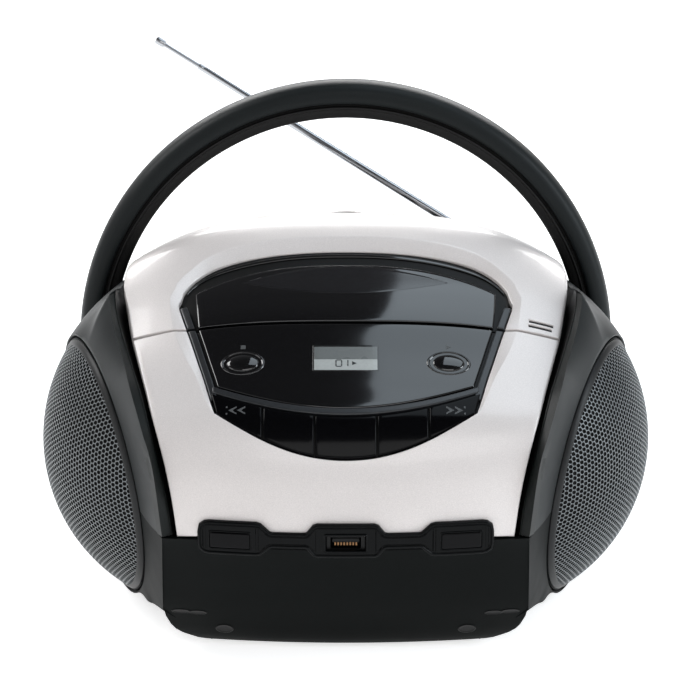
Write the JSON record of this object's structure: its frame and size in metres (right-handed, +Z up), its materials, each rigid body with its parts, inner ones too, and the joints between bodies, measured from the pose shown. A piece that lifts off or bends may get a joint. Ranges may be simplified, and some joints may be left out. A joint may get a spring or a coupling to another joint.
{
  "type": "portable disc player with radio",
  "caption": "Portable disc player and radio: crowned body, domed side speakers, arched carrying handle, top-loading lid, press keys and telescopic antenna.",
  "frame": {"origin": "on the ground under the middle of the bounding box with the antenna half out as pictured", "axes": "+X towards the right speaker, +Y from the front panel to the back, +Z up"},
  "size_m": [0.2822, 0.285, 0.2309],
  "materials": {
    "base_plastic": "satin moulded black-grey",
    "charcoal_plastic": "satin charcoal paint",
    "pearl_silver": "pearl silver paint",
    "gloss_black": "high gloss",
    "lcd_lens": "clear",
    "lcd_display": "grey-green display",
    "circuit_board": "solder resist",
    "bright_steel": "plated",
    "pressed_steel": "zinc plated",
    "chrome_antenna": "polished",
    "grille_steel": "dark metallic paint",
    "foot_rubber": "matte",
    "cone_paper": "coated paper",
    "mechanism_plastic": "moulded",
    "inlet_plastic": "moulded"
  },
  "bodies": {
    "body": {"lower_cabinet": "base_plastic", "left_pod": "charcoal_plastic", "right_pod": "charcoal_plastic", "rear_cover": "base_plastic", "feet": "foot_rubber", "case_screws": "bright_steel", "front_panel": "pearl_silver", "control_panel": "gloss_black", "lcd_lens": "lcd_lens", "lcd_module": "lcd_display", "key_board": "circuit_board", "port_strip": "gloss_black", "usb_socket": "bright_steel", "aux_jack": "base_plastic", "headphone_jack": "base_plastic", "left_grille": "grille_steel", "right_grille": "grille_steel", "left_baffle": "base_plastic", "right_baffle": "base_plastic", "left_speaker_frame": "pressed_steel", "right_speaker_frame": "pressed_steel", "speaker_magnets": "pressed_steel", "disc_deck": "gloss_black", "mechanism_plate": "pressed_steel", "spindle_motor": "pressed_steel", "guide_rods": "bright_steel", "sled_motor": "pressed_steel", "hinge_pins": "bright_steel", "main_board": "circuit_board", "transformer": "pressed_steel", "battery_springs": "bright_steel", "ac_inlet": "inlet_plastic"},
    "lid": {"disc_lid": "pearl_silver", "lid_window": "gloss_black", "lid_liner": "gloss_black"},
    "clamp": {"disc_clamp": "mechanism_plastic"},
    "turntable": {"turntable": "mechanism_plastic"},
    "sled": {"laser_sled": "mechanism_plastic"},
    "pinion": {"drive_pinion": "mechanism_plastic"},
    "back_key": {"back_key": "gloss_black"},
    "mix_key": {"mix_key": "gloss_black"},
    "repeat_key": {"repeat_key": "gloss_black"},
    "program_key": {"program_key": "gloss_black"},
    "next_key": {"next_key": "gloss_black"},
    "stop_button": {"stop_button": "gloss_black"},
    "play_button": {"play_button": "gloss_black"},
    "volume_knob": {"volume_knob": "pearl_silver"},
    "tuning_wheel": {"tuning_wheel": "pearl_silver"},
    "function_switch": {"function_switch": "pearl_silver"},
    "antenna_yoke": {"antenna_base": "chrome_antenna"},
    "antenna_lower": {"antenna_lower_tube": "chrome_antenna"},
    "antenna_middle": {"antenna_middle_tube": "chrome_antenna"},
    "antenna_top": {"antenna_tip": "chrome_antenna"},
    "handle": {"handle_shell": "charcoal_plastic", "handle_rib": "base_plastic"},
    "left_flap": {"left_port_flap": "gloss_black"},
    "right_flap": {"right_port_flap": "gloss_black"},
    "battery_door": {"battery_door": "base_plastic"},
    "left_cone": {"left_speaker_cone": "cone_paper"},
    "right_cone": {"right_speaker_cone": "cone_paper"}
  },
  "joints": [
    {"name": "lid_hinge", "type": "hinge", "parent": "body", "child": "lid", "pos_m": [0, 0.05289, 0.1525], "axis": [-1, 0, 0], "range_deg": [0, 40]},
    {"name": "clamp_spin", "type": "hinge", "parent": "lid", "child": "clamp", "pos_m": [0, -0.01211, 0.136], "axis": [0, 0, 1], "continuous": true},
    {"name": "handle_fold", "type": "hinge", "parent": "body", "child": "handle", "pos_m": [0, 0.03889, 0.1], "axis": [-1, 0, 0], "range_deg": [0, 30]},
    {"name": "antenna_swivel", "type": "hinge", "parent": "body", "child": "antenna_yoke", "pos_m": [0.075, 0.08489, 0.133], "axis": [0, 0, 1], "range_deg": [-150, 12]},
    {"name": "antenna_tilt", "type": "hinge", "parent": "antenna_yoke", "child": "antenna_lower", "pos_m": [0.075, 0.08489, 0.133], "axis": [-0.309, -0.9511, 0], "range_deg": [-60, 22]},
    {"name": "antenna_middle_slide", "type": "slide", "parent": "antenna_lower", "child": "antenna_middle", "axis": [-0.839, 0.2726, 0.471], "range_m": [-0.036, 0.085]},
    {"name": "antenna_tip_slide", "type": "slide", "parent": "antenna_middle", "child": "antenna_top", "axis": [-0.839, 0.2726, 0.471], "range_m": [-0.02, 0.09]},
    {"name": "back_press", "type": "slide", "parent": "body", "child": "back_key", "axis": [0, 0.7826, -0.6225], "range_m": [0, 0.0008], "stiffness_N_per_m": 600, "springref_m": -0.0005},
    {"name": "mix_press", "type": "slide", "parent": "body", "child": "mix_key", "axis": [0, 0.7826, -0.6225], "range_m": [0, 0.0008], "stiffness_N_per_m": 600, "springref_m": -0.0005},
    {"name": "repeat_press", "type": "slide", "parent": "body", "child": "repeat_key", "axis": [0, 0.7826, -0.6225], "range_m": [0, 0.0008], "stiffness_N_per_m": 600, "springref_m": -0.0005},
    {"name": "program_press", "type": "slide", "parent": "body", "child": "program_key", "axis": [0, 0.7826, -0.6225], "range_m": [0, 0.0008], "stiffness_N_per_m": 600, "springref_m": -0.0005},
    {"name": "next_press", "type": "slide", "parent": "body", "child": "next_key", "axis": [0, 0.7826, -0.6225], "range_m": [0, 0.0008], "stiffness_N_per_m": 600, "springref_m": -0.0005},
    {"name": "stop_press", "type": "slide", "parent": "body", "child": "stop_button", "axis": [0, 0.5344, -0.8453], "range_m": [0, 0.0008], "stiffness_N_per_m": 600, "springref_m": -0.0005},
    {"name": "play_press", "type": "slide", "parent": "body", "child": "play_button", "axis": [0, 0.5344, -0.8453], "range_m": [0, 0.0008], "stiffness_N_per_m": 600, "springref_m": -0.0005},
    {"name": "volume_spin", "type": "hinge", "parent": "body", "child": "volume_knob", "pos_m": [0, 0.06839, 0.15], "axis": [0, 0, 1], "range_deg": [-150, 150]},
    {"name": "tuning_spin", "type": "hinge", "parent": "body", "child": "tuning_wheel", "pos_m": [0.027, 0.06839, 0.1405], "axis": [1, 0, 0], "range_deg": [-170, 170]},
    {"name": "function_slide", "type": "slide", "parent": "body", "child": "function_switch", "axis": [1, 0, 0], "range_m": [-0.005, 0.005]},
    {"name": "left_flap_hinge", "type": "hinge", "parent": "body", "child": "left_flap", "pos_m": [-0.05894, -0.13703, 0.0632], "axis": [0, 0, -1], "range_deg": [0, 100]},
    {"name": "right_flap_hinge", "type": "hinge", "parent": "body", "child": "right_flap", "pos_m": [0.05894, -0.13703, 0.0632], "axis": [0, 0, 1], "range_deg": [0, 100]},
    {"name": "battery_door_hinge", "type": "hinge", "parent": "body", "child": "battery_door", "pos_m": [0, 0.08639, 0.022], "axis": [-1, 0, 0], "range_deg": [0, 110]},
    {"name": "spindle_spin", "type": "hinge", "parent": "body", "child": "turntable", "pos_m": [0, -0.01211, 0.12], "axis": [0, 0, 1], "continuous": true},
    {"name": "sled_slide", "type": "slide", "parent": "body", "child": "sled", "axis": [0, -1, 0], "range_m": [0, 0.018]},
    {"name": "pinion_spin", "type": "hinge", "parent": "body", "child": "pinion", "pos_m": [0.0291, -0.05111, 0.119], "axis": [0, 0, 1], "range_deg": [-5, 180]},
    {"name": "left_cone_travel", "type": "slide", "parent": "body", "child": "left_cone", "axis": [-0.9333, -0.3323, -0.1357], "range_m": [-0.0012, 0.0012], "stiffness_N_per_m": 3000},
    {"name": "right_cone_travel", "type": "slide", "parent": "body", "child": "right_cone", "axis": [0.9333, -0.3323, -0.1357], "range_m": [-0.0012, 0.0012], "stiffness_N_per_m": 3000}
  ],
  "couplings": [
    {"joint": "pinion_spin", "follows": "sled_slide", "rad_per_m": 166.67}
  ]
}
